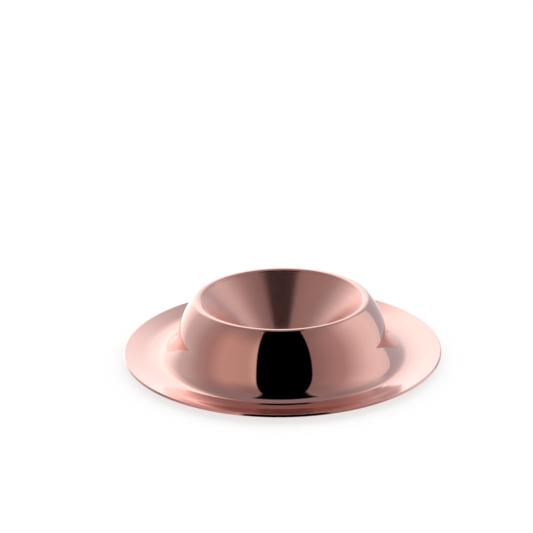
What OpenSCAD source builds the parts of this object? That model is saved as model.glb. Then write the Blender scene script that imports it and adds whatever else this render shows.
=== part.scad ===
/* [Saucer] */
// Diameter over the saucer's rim
saucer_d = 84; // [80:1:96]
// Gap between the table and the underside of the rim
rim_lift = 1.9; // [1.5:0.1:2.4]
// Width of the flat ring that the tray stands on
rest_w = 0.6; // [0.4:0.1:1.2]
// Radius of the bend from the standing ring out to the rim
dish_bend_r = 4.5; // [2:0.5:6]
// Radius that breaks the corners of the rim's cut edge
edge_r = 0.2; // [0.1:0.05:0.25]

/* [Dome] */
// Height of the lip above the table
tray_h = 16.1; // [15.9:0.1:16.8]
// Diameter at which the wall would meet the bottom of the trough
foot_d = 57.6; // [57:0.2:58]
// Lean of the wall from upright at its foot, in degrees
wall_lean = 11.5; // [11:0.5:13]
// Radius of the wall's crown in section
crown_r = 18.5; // [16:0.5:19.5]
// Radius of the sweep from the wall out towards the trough
sweep_r = 9; // [7:0.5:9.5]
// Direction of the normal where the sweep ends, in degrees above level
sweep_end = 50; // [40:2:56]
// Radius of the tighter bend from the sweep down to the trough
foot_bend_r = 4.7; // [4:0.1:5.3]

/* [Mouth] */
// Diameter of the lip's crest
lip_d = 44.8; // [44.4:0.2:45.6]
// Radius of the rounded lip
lip_r = 1.25; // [1:0.05:1.5]
// Width of the seat inside the lip that the bowl's edge rests on
seat_w = 2.4; // [1.6:0.2:3]

/* [Bowl] */
// Angle between the bowl's wall and its axis, in degrees
bowl_angle = 45; // [43:1:48]
// Height of the bowl's floor above the table
floor_h = 1.6; // [1.2:0.1:3]
// Radius of the bend between the bowl's wall and its floor
floor_bend_r = 9; // [4:1:10]

/* [Sheet] */
// Thickness of the steel sheet
sheet_t = 0.7; // [0.5:0.1:0.8]

/* [Hidden] */
$fn = 144;

// Straight pieces that stand for 90 degrees of bend
bend_steps = 24;

// A skin is the side of the sheet that shows. Each of its points is [radius, height, direction of
// the outward normal in degrees], and the sheet lies one thickness behind it.
function normal(a) = [cos(a), sin(a)];

// Skin points round a bend from one normal to another, with a negative radius where it is hollow
function bend(centre, r, from, to) =
    let (n = max(2, ceil(abs(to - from) / 90 * bend_steps)))
    [for (i = [0:n]) let (a = from + (to - from) * i / n) concat(centre + r * normal(a), a)];

// The skin's own points, and the points of the sheet's other side in reverse
function front(skin) = [for (p = skin) [p.x, p.y]];
function back(skin) = [for (i = [len(skin) - 1:-1:0]) front(skin)[i] - sheet_t * normal(skin[i].z)];

// Lip and crown: the crown is tangent to the lip and to the straight wall that ends at the foot
lip_c = [lip_d / 2, tray_h - lip_r];
crown_reach = lip_c.x + crown_r * cos(wall_lean)
    + (lip_c.y + crown_r * sin(wall_lean) - sheet_t) * tan(wall_lean);
shoulder_a = wall_lean + acos((crown_reach - foot_d / 2) * cos(wall_lean) / (crown_r - lip_r));
crown_c = lip_c + (lip_r - crown_r) * normal(shoulder_a);

// Seam: the bowl's edge drops into a step in the lip, flush with it, and rests on the seat below
seam_a = 180 - bowl_angle;
seam = lip_c + lip_r * normal(seam_a);
down_bowl = normal(seam_a + 90);
seat_high = seam - sheet_t * normal(seam_a);
seat_low = seat_high + seat_w * down_bowl;

// The seat's underside runs up until it meets the inside of the crown
under_seat = seat_low - sheet_t * normal(seam_a);
under_run = (under_seat - crown_c) * down_bowl;
under_gap = pow(norm(under_seat - crown_c), 2) - pow(crown_r - sheet_t, 2);
under_join = under_seat - (under_run + sqrt(pow(under_run, 2) - under_gap)) * down_bowl;
join_a = atan2(under_join.y - crown_c.y, under_join.x - crown_c.x);

// Foot: a sweep out of the wall, then a tighter bend down to the standing ring
sweep_shift = (sweep_r - foot_bend_r) * normal(sweep_end);
foot_rise = foot_bend_r + sweep_shift.y - sweep_r * sin(wall_lean);
foot_c = [
    foot_d / 2 - foot_rise * tan(wall_lean) + sweep_r * cos(wall_lean) - sweep_shift.x,
    sheet_t + foot_bend_r
];
sweep_c = foot_c + sweep_shift;

// Saucer: a cone whose underside is tangent to the dish bend and to the rim's lower corner
dish_c = [foot_c.x + rest_w, sheet_t + dish_bend_r];
corner_c = [saucer_d / 2 - edge_r, rim_lift + edge_r];
under_r = dish_bend_r + sheet_t - edge_r;
corner_a = atan2(corner_c.x - dish_c.x, dish_c.y - corner_c.y);
saucer_slope = corner_a - acos(under_r / norm(corner_c - dish_c));

// Bowl: a cone from the seam down to the bend at its floor
floor_bend_h = floor_h + floor_bend_r * (1 - sin(bowl_angle));
floor_bend_x = seam.x - (seam.y - floor_bend_h) * tan(bowl_angle);
floor_c = [floor_bend_x - floor_bend_r * cos(bowl_angle), floor_h + floor_bend_r];

// Cut edge of the rim, from its lower corner to its upper one
function rim_edge() =
    let (corner_gap = (sheet_t - 2 * edge_r) * normal(saucer_slope + 90))
    concat(
        bend(corner_c, edge_r, saucer_slope - 90, saucer_slope),
        bend(corner_c + corner_gap, edge_r, saucer_slope, saucer_slope + 90)
    );

// Saucer and foot, from the rim in to the wall
function saucer_skin() = concat(
    bend(dish_c, -dish_bend_r, 90 + saucer_slope, 90),
    bend(foot_c, -foot_bend_r, 90, sweep_end),
    bend(sweep_c, -sweep_r, sweep_end, wall_lean)
);

// Crowned wall, up to the place where its normal has a given direction
function wall_skin(to) = bend(crown_c, crown_r, wall_lean, to);

// Bowl, from the seam down to the middle of its floor
function bowl_skin() = concat(
    [concat(seam, seam_a)],
    bend(floor_c, -floor_bend_r, seam_a, 90),
    [[0, floor_h, 90]]
);

// Drawn pressing: saucer, standing ring, crowned wall and rounded lip with its seat
module tray_shell() {
    outside = front(concat(
        rim_edge(),
        saucer_skin(),
        wall_skin(shoulder_a),
        bend(lip_c, lip_r, shoulder_a, seam_a)
    ));
    inside = back(concat(saucer_skin(), wall_skin(join_a)));
    color("#c98d82")
        rotate_extrude()
            polygon(concat(outside, [seat_high, seat_low, under_seat], inside));
}

// Spun cone with a rounded floor, flush in the shell's mouth
module egg_bowl() {
    color("#a87870")
        rotate_extrude()
            polygon(concat(front(bowl_skin()), back(bowl_skin())));
}

tray_shell();
egg_bowl();
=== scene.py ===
import math

import bpy
from mathutils import Matrix, Vector


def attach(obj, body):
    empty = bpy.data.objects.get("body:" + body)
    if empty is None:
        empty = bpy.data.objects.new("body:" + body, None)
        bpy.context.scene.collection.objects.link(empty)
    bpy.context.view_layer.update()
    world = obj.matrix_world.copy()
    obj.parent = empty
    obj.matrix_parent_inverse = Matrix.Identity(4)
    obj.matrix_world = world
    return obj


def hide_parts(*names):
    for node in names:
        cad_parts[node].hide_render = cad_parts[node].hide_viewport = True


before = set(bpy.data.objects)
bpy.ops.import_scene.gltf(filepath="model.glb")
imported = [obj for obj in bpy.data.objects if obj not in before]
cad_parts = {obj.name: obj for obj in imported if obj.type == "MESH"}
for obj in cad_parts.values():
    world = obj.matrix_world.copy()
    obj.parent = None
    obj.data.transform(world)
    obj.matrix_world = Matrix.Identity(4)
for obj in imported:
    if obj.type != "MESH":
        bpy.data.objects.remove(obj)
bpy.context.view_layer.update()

# Sizes of the two pressings, in millimetres and degrees, as in the part's source
MM = 0.001
SAUCER_D, RIM_LIFT, REST_W, DISH_BEND_R, EDGE_R = 84, 1.9, 0.6, 4.5, 0.2
TRAY_H, FOOT_D, WALL_LEAN, CROWN_R = 16.1, 57.6, 11.5, 18.5
SWEEP_R, SWEEP_END, FOOT_BEND_R = 9, 50, 4.7
LIP_D, LIP_R, SEAT_W = 44.8, 1.25, 2.4
BOWL_ANGLE, FLOOR_H, FLOOR_BEND_R = 45, 1.6, 9
SHEET_T = 0.7

# Radius that breaks the two corners at the seam, in millimetres
SEAM_BREAK = 0.1

# Wider radius, in millimetres, that eases the dish bend into the saucer from a slope in degrees
DISH_EASE_R, DISH_EASE_A = 14, 5

# Wider radius, in millimetres, that eases the lip's crest into the bowl
LIP_EASE_R = 1.9

# Steps round the axis, degrees to a step of a bend, and places along a straight run
SPIN_STEPS = 288
BEND_STEP = 2.5
RUN_SHARES = (0.03, 0.15, 0.35, 0.6, 0.85, 0.97)

# Distance in millimetres at which points merge, and sharpest edge in degrees that is smoothed
MERGE_GAP = 0.001
SMOOTH_ANGLE = 30


# Section of the sheet

def normal(angle):
    """Unit vector in the plane of the section, its angle in degrees from the outward radius."""
    return Vector((math.cos(math.radians(angle)), math.sin(math.radians(angle))))


def tangent(angle):
    """Tangent of an angle in degrees."""
    return math.tan(math.radians(angle))


def bend(centre, radius, start, end):
    """Skin points round a bend, each with its outward normal; hollow if the radius is negative."""
    count = max(2, math.ceil(abs(end - start) / BEND_STEP))
    angles = [start + (end - start) * i / count for i in range(count + 1)]
    return [(centre + radius * normal(a), a) for a in angles]


def joined(*bends):
    """The bends in a row, with skin points along the straight run between each two."""
    skin = list(bends[0])
    for following in bends[1:]:
        (start, angle), (end, _) = skin[-1], following[0]
        skin += [(start.lerp(end, share), angle) for share in RUN_SHARES]
        skin += following
    return skin


def front(skin):
    """The side of the sheet that shows."""
    return [place for place, _ in skin]


def back(skin):
    """The other side of the sheet, in reverse."""
    return [place - SHEET_T * normal(angle) for place, angle in reversed(skin)]


# Lip and crown
lip_c = Vector((LIP_D / 2, TRAY_H - LIP_R))
crown_reach = (
    lip_c.x
    + CROWN_R * normal(WALL_LEAN).x
    + (lip_c.y + CROWN_R * normal(WALL_LEAN).y - SHEET_T) * tangent(WALL_LEAN)
)
shoulder_cos = (crown_reach - FOOT_D / 2) * normal(WALL_LEAN).x / (CROWN_R - LIP_R)
shoulder_a = WALL_LEAN + math.degrees(math.acos(shoulder_cos))
crown_c = lip_c + (LIP_R - CROWN_R) * normal(shoulder_a)

# Seam, and the seat below it, whose underside runs up to the inside of the crown
seam_a = 180 - BOWL_ANGLE
lip_ease_c = lip_c + (LIP_R - LIP_EASE_R) * normal(90)
seam = lip_ease_c + LIP_EASE_R * normal(seam_a)
down_bowl = normal(seam_a + 90)
seat_high = seam - SHEET_T * normal(seam_a)
seat_low = seat_high + SEAT_W * down_bowl
under_seat = seat_low - SHEET_T * normal(seam_a)
under_run = (under_seat - crown_c).dot(down_bowl)
under_gap = (under_seat - crown_c).length_squared - (CROWN_R - SHEET_T) ** 2
under_join = under_seat - (under_run + math.sqrt(under_run**2 - under_gap)) * down_bowl
join_a = math.degrees(math.atan2(under_join.y - crown_c.y, under_join.x - crown_c.x))

# Foot: a sweep out of the wall, then a tighter bend down to the standing ring
sweep_shift = (SWEEP_R - FOOT_BEND_R) * normal(SWEEP_END)
foot_rise = FOOT_BEND_R + sweep_shift.y - SWEEP_R * normal(WALL_LEAN).y
wall_foot = FOOT_D / 2 - foot_rise * tangent(WALL_LEAN)
foot_c = Vector((
    wall_foot + SWEEP_R * normal(WALL_LEAN).x - sweep_shift.x,
    SHEET_T + FOOT_BEND_R,
))
sweep_c = foot_c + sweep_shift

# Saucer: a cone whose underside is tangent to the eased dish bend and to the rim's lower corner
dish_c = Vector((foot_c.x + REST_W, SHEET_T + DISH_BEND_R))
corner_c = Vector((SAUCER_D / 2 - EDGE_R, RIM_LIFT + EDGE_R))
ease_c = dish_c + (DISH_EASE_R - DISH_BEND_R) * normal(90 + DISH_EASE_A)
under_r = DISH_EASE_R + SHEET_T - EDGE_R
corner_a = math.atan2(corner_c.x - ease_c.x, ease_c.y - corner_c.y)
saucer_slope = math.degrees(corner_a - math.acos(under_r / (corner_c - ease_c).length))

# Bowl: a cone from the seam down to the bend at its floor
floor_bend_h = FLOOR_H + FLOOR_BEND_R * (1 - normal(BOWL_ANGLE).y)
floor_bend_x = seam.x - (seam.y - floor_bend_h) * tangent(BOWL_ANGLE)
floor_c = Vector((floor_bend_x - FLOOR_BEND_R * normal(BOWL_ANGLE).x, FLOOR_H + FLOOR_BEND_R))


def shell_section():
    """Closed outline of the shell, from the rim's lower corner over the lip and back inside."""
    corner_gap = (SHEET_T - 2 * EDGE_R) * normal(saucer_slope + 90)
    lower_corner = bend(corner_c, EDGE_R, saucer_slope - 90, saucer_slope)
    upper_corner = bend(corner_c + corner_gap, EDGE_R, saucer_slope, saucer_slope + 90)
    dish = bend(ease_c, -DISH_EASE_R, 90 + saucer_slope, 90 + DISH_EASE_A)
    dish += bend(dish_c, -DISH_BEND_R, 90 + DISH_EASE_A, 90)[1:]
    foot = bend(foot_c, -FOOT_BEND_R, 90, SWEEP_END)
    foot += bend(sweep_c, -SWEEP_R, SWEEP_END, WALL_LEAN)[1:]
    crown = bend(crown_c, CROWN_R, WALL_LEAN, shoulder_a)
    crown_inside = bend(crown_c, CROWN_R, WALL_LEAN, join_a)
    lip = bend(lip_c, LIP_R, shoulder_a, 90)
    lip += bend(lip_ease_c, LIP_EASE_R, 90, seam_a - BEND_STEP)[1:]
    break_c = seam - SEAM_BREAK * (normal(seam_a) + down_bowl)
    step_corner = bend(break_c, SEAM_BREAK, seam_a, seam_a + 90)
    outside = joined(upper_corner, dish, foot, crown)
    seat = [seat_high, seat_low, under_seat]
    inside = back(joined(dish, foot, crown_inside))
    return front(lower_corner + outside + lip[1:] + step_corner) + seat + inside


def bowl_section():
    """Outline of the bowl, from the middle of its floor up to the seam and back below."""
    break_c = seam - SEAM_BREAK * (normal(seam_a) - down_bowl)
    edge = bend(break_c, SEAM_BREAK, seam_a - 90, seam_a)
    floor_bend = bend(floor_c, -FLOOR_BEND_R, seam_a, 90)
    middle = [(Vector((0, FLOOR_H)), 90)]
    inside = front(joined(edge, floor_bend, middle))
    outside = back(joined([(seam, seam_a)], floor_bend, middle))
    return inside[::-1] + outside[::-1]


# Modelling

def turn(name, section, closed):
    """Extrudes a vertex along the section, spins it about the Z axis and smooths the result."""
    places = [Vector((p.x, 0, p.y)) * MM for p in section]
    if closed:
        places.append(places[0])
    bpy.ops.object.select_all(action="DESELECT")
    bpy.ops.mesh.primitive_plane_add(size=MM, location=(0, 0, 0))
    piece = bpy.context.object
    piece.name = piece.data.name = name
    bpy.ops.object.mode_set(mode="EDIT")
    bpy.ops.mesh.merge(type="CENTER")
    bpy.ops.transform.translate(value=places[0])
    for here, there in zip(places, places[1:]):
        bpy.ops.mesh.extrude_vertices_move(TRANSFORM_OT_translate={"value": there - here})
    bpy.ops.mesh.select_all(action="SELECT")
    bpy.ops.mesh.spin(steps=SPIN_STEPS, angle=math.tau, center=(0, 0, 0), axis=(0, 0, 1))
    bpy.ops.mesh.select_all(action="SELECT")
    bpy.ops.mesh.remove_doubles(threshold=MERGE_GAP * MM)
    bpy.ops.mesh.normals_make_consistent(inside=False)
    bpy.ops.object.mode_set(mode="OBJECT")
    bpy.ops.object.shade_smooth_by_angle(angle=math.radians(SMOOTH_ANGLE))
    return piece


polished_shell = turn("polished_shell", shell_section(), closed=True)
satin_bowl = turn("satin_bowl", bowl_section(), closed=False)
for piece, node, slot in (
    (polished_shell, "tray_shell", "polished_shell"),
    (satin_bowl, "egg_bowl", "satin_bowl"),
):
    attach(piece, "root")
    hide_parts(node)


# Node arithmetic

class Wire:
    """An output socket that does arithmetic by adding Math nodes."""

    def __init__(self, bench, socket):
        self.bench = bench
        self.socket = socket

    def math(self, operation, *values):
        return self.bench.add("ShaderNodeMath", {"operation": operation}, dict(enumerate(values)))

    def __add__(self, other):
        return self.math("ADD", self, other)

    def __sub__(self, other):
        return self.math("SUBTRACT", self, other)

    def __rsub__(self, other):
        return self.math("SUBTRACT", other, self)

    def __mul__(self, other):
        return self.math("MULTIPLY", self, other)

    def __truediv__(self, other):
        return self.math("DIVIDE", self, other)

    def __pow__(self, other):
        return self.math("POWER", self, other)

    __radd__ = __add__
    __rmul__ = __mul__


class Bench:
    """The nodes of one material or world, from an empty start."""

    def __init__(self, owner):
        owner.use_nodes = True
        self.tree = owner.node_tree
        self.tree.nodes.clear()

    def add(self, kind, settings=None, inputs=None, output=0):
        """Adds a node, sets it up, fills its sockets and gives one of its outputs."""
        node = self.tree.nodes.new(kind)
        for name, value in (settings or {}).items():
            if name == "stops":
                self.set_stops(node.color_ramp, value)
            else:
                setattr(node, name, value)
        for key, value in (inputs or {}).items():
            if isinstance(value, Wire):
                self.tree.links.new(value.socket, node.inputs[key])
            else:
                node.inputs[key].default_value = value
        return Wire(self, node.outputs[output]) if node.outputs else None

    def set_stops(self, ramp, stops):
        """Gives a colour ramp its positions and colours."""
        while len(ramp.elements) < len(stops):
            ramp.elements.new(1)
        for element, (position, color) in zip(ramp.elements, stops):
            element.position = position
            element.color = color

    def step(self, value, low, high):
        """0 below low, 1 above high, with a smooth change between."""
        inputs = {"Value": value, "From Min": low, "From Max": high}
        return self.add("ShaderNodeMapRange", {"interpolation_type": "SMOOTHSTEP"}, inputs)

    def blend(self, factor, first, second):
        """A colour between two others."""
        settings = {"data_type": "RGBA"}
        return self.add("ShaderNodeMix", settings, {0: factor, 6: first, 7: second}, output=2)

    def split(self, vector):
        """The three parts of a vector."""
        first = self.add("ShaderNodeSeparateXYZ", inputs={"Vector": vector})
        return [Wire(self, socket) for socket in first.socket.node.outputs]

    def bump(self, height, strength, depth):
        """A normal that follows a height, with the depth in millimetres."""
        inputs = {"Height": height, "Strength": strength, "Distance": depth * MM}
        return self.add("ShaderNodeBump", inputs=inputs)

    def show(self, surface):
        """Joins a shader to the material's output."""
        self.add("ShaderNodeOutputMaterial", inputs={"Surface": surface})


def mm_coordinates(bench):
    """Object coordinates in millimetres, and the distance from the tray's axis."""
    place = bench.add("ShaderNodeTexCoord", output="Object")
    x, y, z = (part / MM for part in bench.split(place))
    return x, y, z, (x * x + y * y) ** 0.5


def ring_marks(bench, width, turns, detail):
    """Noise drawn out round the axis: marks of a width in millimetres, few along each turn."""
    x, y, z, radius = mm_coordinates(bench)
    around = bench.add("ShaderNodeCombineXYZ", inputs={
        "X": turns * x / radius,
        "Y": turns * y / radius,
        "Z": radius / width,
    })
    inputs = {"Vector": around, "W": z / width, "Scale": 1, "Detail": detail, "Roughness": 0.6}
    return bench.add("ShaderNodeTexNoise", {"noise_dimensions": "4D"}, inputs)


# Finishes

ROSE_GOLD = (0.93, 0.535, 0.47, 1)
ROSE_GOLD_DEEP = (0.905, 0.5, 0.435, 1)
PLATED_INSIDE = (0.72, 0.47, 0.41, 1)

# Radii in millimetres between which the saucer's haze and lacquer set in
SAUCER_START = (30.5, 34)

# Height of a unit normal below which a face counts as looking down
LOOKS_DOWN = -0.05


def polished_plating():
    """Mirror polish with faint turning marks, hazier and thinly lacquered on the saucer."""
    material = bpy.data.materials.new("polished_plating")
    bench = Bench(material)
    *_, radius = mm_coordinates(bench)
    marks = ring_marks(bench, width=0.35, turns=3, detail=4)
    saucer = bench.step(radius, *SAUCER_START)
    smudge = bench.add("ShaderNodeTexNoise", inputs={
        "Vector": bench.add("ShaderNodeTexCoord", output="Object"),
        "Scale": 60,
        "Detail": 2,
    })
    bench.show(bench.add("ShaderNodeBsdfPrincipled", inputs={
        "Base Color": bench.blend(0.5 * smudge + 0.25 * marks, ROSE_GOLD, ROSE_GOLD_DEEP),
        "Metallic": 1,
        "Roughness": 0.02 + 0.02 * smudge + saucer * (0.05 + 0.08 * marks),
        "Coat Weight": 0.7 * saucer,
        "Coat Roughness": 0.03,
        "Normal": bench.bump(marks, strength=0.2, depth=0.002),
    }))
    return material


def satin_brushing():
    """Satin brushed round the axis: fine grooves that draw highlights out into radial streaks."""
    material = bpy.data.materials.new("satin_brushing")
    bench = Bench(material)
    grooves = ring_marks(bench, width=0.1, turns=9, detail=3)
    bands = ring_marks(bench, width=0.5, turns=1.5, detail=3)
    bench.show(bench.add("ShaderNodeBsdfPrincipled", inputs={
        "Base Color": bench.blend(0.55 * grooves + 0.3 * bands, ROSE_GOLD, ROSE_GOLD_DEEP),
        "Metallic": 1,
        "Roughness": 0.2 + 0.08 * grooves + 0.18 * bands,
        "Anisotropic": 0.98,
        "Anisotropic Rotation": 0.25,
        "Normal": bench.bump(grooves, strength=0.3, depth=0.004),
    }))
    return material


def unpolished_plating():
    """Plated sheet as it left the press, on the faces that look down."""
    material = bpy.data.materials.new("unpolished_plating")
    bench = Bench(material)
    draw_marks = ring_marks(bench, width=0.5, turns=12, detail=4)
    bench.show(bench.add("ShaderNodeBsdfPrincipled", inputs={
        "Base Color": bench.blend(draw_marks, PLATED_INSIDE, ROSE_GOLD_DEEP),
        "Metallic": 1,
        "Roughness": 0.3 + 0.2 * draw_marks,
        "Normal": bench.bump(draw_marks, strength=0.4, depth=0.01),
    }))
    return material


def finish_faces(piece, shown, hidden):
    """One material on the faces that show, another on those that look down."""
    piece.data.materials.append(shown)
    piece.data.materials.append(hidden)
    for face in piece.data.polygons:
        face.material_index = int(face.normal.z < LOOKS_DOWN)


unpolished = unpolished_plating()
finish_faces(polished_shell, polished_plating(), unpolished)
finish_faces(satin_bowl, satin_brushing(), unpolished)


# Stage

# Radii of the tent and the table in metres, and the steps round each
TENT_R = 8
TABLE_R = 0.3
ROUND_STEPS = 96

# Panels round the tent: azimuth in degrees, 0 at the camera and 90 on its right, and colour
PANELS = (
    (-180, (1.2, 1.25, 1.28)),
    (-160, (1.45, 1.5, 1.52)),
    (-150, (1.28, 1.33, 1.36)),
    (-139, (1, 1.08, 1.12)),
    (-127, (0.64, 0.68, 0.7)),
    (-112, (0.54, 0.55, 0.56)),
    (-97, (0.41, 0.37, 0.37)),
    (-84, (0.39, 0.31, 0.3)),
    (-66, (0.56, 0.43, 0.4)),
    (-37, (0.5, 0.4, 0.37)),
    (-29, (0.62, 0.52, 0.48)),
    (33, (0.26, 0.21, 0.2)),
    (68, (0.43, 0.35, 0.35)),
    (98, (0.8, 0.79, 0.79)),
    (115, (0.86, 0.89, 0.89)),
    (130.5, (0.76, 0.82, 0.84)),
    (132.5, (0.46, 0.52, 0.57)),
    (146, (0.48, 0.55, 0.61)),
    (158, (0.58, 0.66, 0.73)),
    (164, (0.82, 0.91, 0.96)),
    (169, (0.98, 1.07, 1.11)),
    (174, (1.03, 1.14, 1.18)),
    (180, (1.2, 1.25, 1.28)),
)

# Below, azimuths are in degrees, and other limits are shares of a unit vector: across to the right,
# away from the camera or toward it, and rise. A pair gives the start and the end of a soft edge.

# Light above the grey card on the right: azimuths of its two sides, and the rise where it starts
ROOF_CARD = (0.76, 0.84, 0.86, 1)
CARD_NEAR, CARD_FAR, CARD_TOP = (130, 132), (146, 160), (0.58, 0.68)

# White panel behind, 12 degrees to the left: cosine and sine of that turn, and its two limits
WHITE_COS, WHITE_SIN = 0.978, 0.208
WHITE_WIDTH, WHITE_AWAY = (0.1, 0.3), (0.3, 0.5)

# Roof, and its tone towards the camera
ROOF = (0.28, 0.25, 0.26, 1)
ROOF_FRONT = (0.23, 0.19, 0.18, 1)
FRONT_START = (0.15, 0.55)

# Rise where the roof starts and where it is full, and how both shift behind and on the right
EAVES, EAVES_BEHIND, EAVES_BESIDE = 0.42, 0.18, 0.12
RIDGE, RIDGE_BEHIND, RIDGE_BESIDE = 0.93, -0.07, 0.05
BESIDE_START = (0.2, 0.6)

# Cloth round the camera: azimuths of its sides, and how it widens and leans left as it rises
BLACK_CLOTH = (0, 0, 0, 1)
CLOTH_LEFT, CLOTH_RIGHT = (-28, -26.5), (30, 31.5)
CLOTH_WIDENS, CLOTH_LEANS = 0.1, 2

# Cloth above the camera: its middle line, half its width and its end past the highest point
CLOTH_MIDDLE, CLOTH_HALF, CLOTH_END = 0.02, (0.23, 0.29), (-0.09, -0.03)

# Table: its grey, what it glows with for the camera, and its drop below the tray in millimetres
TABLE_GREY = (0.3, 0.3, 0.3, 1)
TABLE_GLOW = 0.71
TABLE_DROP = 0.1


def tent_light():
    """Soft panels: white behind, greys at the sides, a black cloth round and above the camera."""
    material = bpy.data.materials.new("tent_light")
    bench = Bench(material)
    place = bench.add("ShaderNodeTexCoord", output="Object")
    direction = bench.add("ShaderNodeVectorMath", {"operation": "NORMALIZE"}, {0: place})
    across, away, rise = bench.split(direction)
    toward = 0 - away
    azimuth = across.math("ARCTAN2", across, toward) * (180 / math.pi)
    light = bench.add("ShaderNodeValToRGB", {
        "stops": [(turned / 360 + 0.5, (*color, 1)) for turned, color in PANELS],
    }, {"Fac": azimuth / 360 + 0.5})

    over_card = bench.step(azimuth, *CARD_NEAR) * (1 - bench.step(azimuth, *CARD_FAR))
    light = bench.blend(over_card * bench.step(rise, *CARD_TOP), light, ROOF_CARD)

    astray = across.math("ABSOLUTE", WHITE_COS * across + WHITE_SIN * away)
    behind = (1 - bench.step(astray, *WHITE_WIDTH)) * bench.step(away, *WHITE_AWAY)
    beside = bench.step(across, *BESIDE_START)
    roof = bench.blend(bench.step(toward, *FRONT_START), ROOF, ROOF_FRONT)
    eaves = EAVES + EAVES_BEHIND * behind + EAVES_BESIDE * beside
    ridge = RIDGE + RIDGE_BEHIND * behind + RIDGE_BESIDE * beside
    light = bench.blend(bench.step(rise, eaves, ridge), light, roof)

    spread = azimuth * (1 - CLOTH_WIDENS * rise * rise) + CLOTH_LEANS * rise * rise
    before = bench.step(spread, *CLOTH_LEFT) * (1 - bench.step(spread, *CLOTH_RIGHT))
    off_axis = across.math("ABSOLUTE", across - CLOTH_MIDDLE)
    above = (1 - bench.step(off_axis, *CLOTH_HALF)) * bench.step(toward, *CLOTH_END)
    light = bench.blend(before.math("MAXIMUM", before, above), light, BLACK_CLOTH)

    bench.show(bench.add("ShaderNodeEmission", inputs={"Color": light}))
    return material


def table_white():
    """Table that the camera sees as white, with a light shadow."""
    material = bpy.data.materials.new("table_white")
    bench = Bench(material)
    seen = bench.add("ShaderNodeLightPath", output="Is Camera Ray")
    painted = bench.add("ShaderNodeBsdfDiffuse", inputs={"Color": TABLE_GREY})
    glow = bench.add("ShaderNodeEmission", inputs={"Strength": TABLE_GLOW * seen})
    bench.show(bench.add("ShaderNodeAddShader", inputs={0: painted, 1: glow}))
    return material


bpy.ops.object.select_all(action="DESELECT")
bpy.ops.mesh.primitive_uv_sphere_add(
    segments=ROUND_STEPS, ring_count=ROUND_STEPS // 2, radius=TENT_R
)
tent = bpy.context.object
tent.name = "light_tent"
tent.data.materials.append(tent_light())
tent.visible_camera = tent.visible_diffuse = tent.visible_shadow = False

bpy.ops.object.select_all(action="DESELECT")
bpy.ops.mesh.primitive_circle_add(
    vertices=ROUND_STEPS, radius=TABLE_R, fill_type="NGON", location=(0, 0, -TABLE_DROP * MM)
)
table = bpy.context.object
table.name = "table"
table.data.materials.append(table_white())
table.visible_glossy = False

# Room that lights the table, unseen in the mirror finish
world = bpy.data.worlds.new("white_room")
world_bench = Bench(world)
world_bench.add("ShaderNodeOutputWorld", inputs={
    "Surface": world_bench.add("ShaderNodeBackground", inputs={"Color": (1, 1, 1, 1)}),
})
world.cycles_visibility.glossy = False
bpy.context.scene.world = world

# Camera at the photograph's view: place in metres, turns in radians, lens and sensor in millimetres
CAMERA_PLACE = (0, -0.3, 0.1317)
PAN, TILT, ROLL = -0.0128, math.radians(19.643), math.radians(-0.985)
LENS, SENSOR_W = 82.6, 36
CLIP_START, CLIP_END = 0.01, 20

camera = bpy.data.objects.new("camera", bpy.data.cameras.new("camera"))
bpy.context.scene.collection.objects.link(camera)
forward = Vector((
    math.sin(PAN) * math.cos(TILT),
    math.cos(PAN) * math.cos(TILT),
    -math.sin(TILT),
))
right = forward.cross(Vector((0, 0, 1))).normalized()
up = right.cross(forward)
rolled_right = math.cos(ROLL) * right + math.sin(ROLL) * up
rolled_up = -math.sin(ROLL) * right + math.cos(ROLL) * up
camera.matrix_world = Matrix((rolled_right, rolled_up, -forward)).transposed().to_4x4()
camera.location = CAMERA_PLACE
camera.data.sensor_width = SENSOR_W
camera.data.lens = LENS
camera.data.clip_start = CLIP_START
camera.data.clip_end = CLIP_END
bpy.context.scene.camera = camera

bpy.context.scene.view_settings.view_transform = "Standard"
